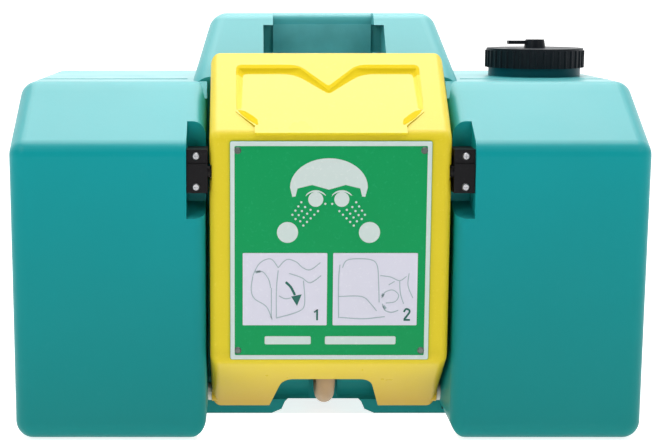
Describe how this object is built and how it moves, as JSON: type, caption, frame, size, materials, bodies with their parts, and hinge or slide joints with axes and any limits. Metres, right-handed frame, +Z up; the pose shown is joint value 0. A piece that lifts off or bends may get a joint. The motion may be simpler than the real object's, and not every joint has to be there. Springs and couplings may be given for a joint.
{
  "type": "portable gravity-fed eyewash station",
  "caption": "Two-lobed polyethylene water tank with a carrying handle, a vented fill cap and a pull-down yellow cover holding two spray heads.",
  "frame": {"origin": "centre of the bounding box's bottom face, on the surface the tank stands on", "axes": "+X to the right seen from the front, +Y towards the back, +Z up; the cover faces -Y"},
  "size_m": [0.54, 0.29, 0.363],
  "materials": {
    "tank_green": "satin moulded polyethylene",
    "neck_teal": "satin",
    "grip_grey": "matte",
    "black_rubber": "matte",
    "cap_black": "satin",
    "cover_yellow": "satin moulded plastic",
    "sign_green": "satin printed face",
    "rivet_steel": "satin",
    "stainless": "satin",
    "insert_brass": "satin",
    "nylon_white": "satin",
    "fitting_black": "satin",
    "hose_latex": "satin",
    "pvc_white": "satin",
    "screen_steel": "woven",
    "catch_black": "satin",
    "head_green": "satin"
  },
  "bodies": {
    "tank": {"tank_shell": "tank_green", "filler_neck": "neck_teal", "handle_grip": "grip_grey", "hinge_pins": "stainless", "hinge_inserts": "insert_brass", "hinge_washers": "nylon_white", "catch_screws": "stainless", "catch_inserts": "insert_brass", "left_catch_housing": "catch_black", "right_catch_housing": "catch_black", "left_catch_spring": "stainless", "right_catch_spring": "stainless", "outlet_fitting": "fitting_black", "outlet_gasket": "black_rubber", "outlet_nut": "fitting_black", "outlet_clamp": "stainless", "wall_inserts": "insert_brass", "supply_hose": "hose_latex"},
    "cap_gasket": {"cap_gasket": "black_rubber"},
    "fill_cap": {"fill_cap": "cap_black"},
    "vent": {"vent_knob": "cap_black", "vent_collar": "cap_black"},
    "cover": {"cover_shell": "cover_yellow", "sign_plate": "sign_green", "sign_rivets": "rivet_steel", "hinge_bushes": "nylon_white", "manifold": "pvc_white", "manifold_clamp": "stainless", "spray_faces": "pvc_white", "head_screens": "screen_steel", "head_nuts": "fitting_black", "manifold_clips": "fitting_black", "left_spray_head": "head_green", "right_spray_head": "head_green"},
    "left_plunger": {"left_plunger": "catch_black"},
    "right_plunger": {"right_plunger": "catch_black"}
  },
  "joints": [
    {"name": "cover_hinge", "type": "hinge", "parent": "tank", "child": "cover", "pos_m": [0, -0.071, 0.024], "axis": [1, 0, 0], "range_deg": [0, 90], "deforming": ["supply_hose"]},
    {"name": "cap_lift", "type": "slide", "parent": "tank", "child": "cap_gasket", "axis": [0, 0, 1], "range_m": [0, 0.045]},
    {"name": "cap_turn", "type": "hinge", "parent": "cap_gasket", "child": "fill_cap", "pos_m": [0.2045, 0.04, 0.32], "axis": [0, 0, 1], "continuous": true},
    {"name": "vent_turn", "type": "hinge", "parent": "fill_cap", "child": "vent", "pos_m": [0.2045, 0.04, 0.334], "axis": [0, 0, 1], "range_deg": [0, 90]},
    {"name": "right_plunger_slide", "type": "slide", "parent": "tank", "child": "right_plunger", "axis": [1, 0, 0], "range_m": [0, 0.0028], "stiffness_N_per_m": 400, "springref_m": -0.004, "deforming": ["right_catch_spring"]},
    {"name": "left_plunger_slide", "type": "slide", "parent": "tank", "child": "left_plunger", "axis": [-1, 0, 0], "range_m": [0, 0.0028], "stiffness_N_per_m": 400, "springref_m": -0.004, "deforming": ["left_catch_spring"]}
  ]
}
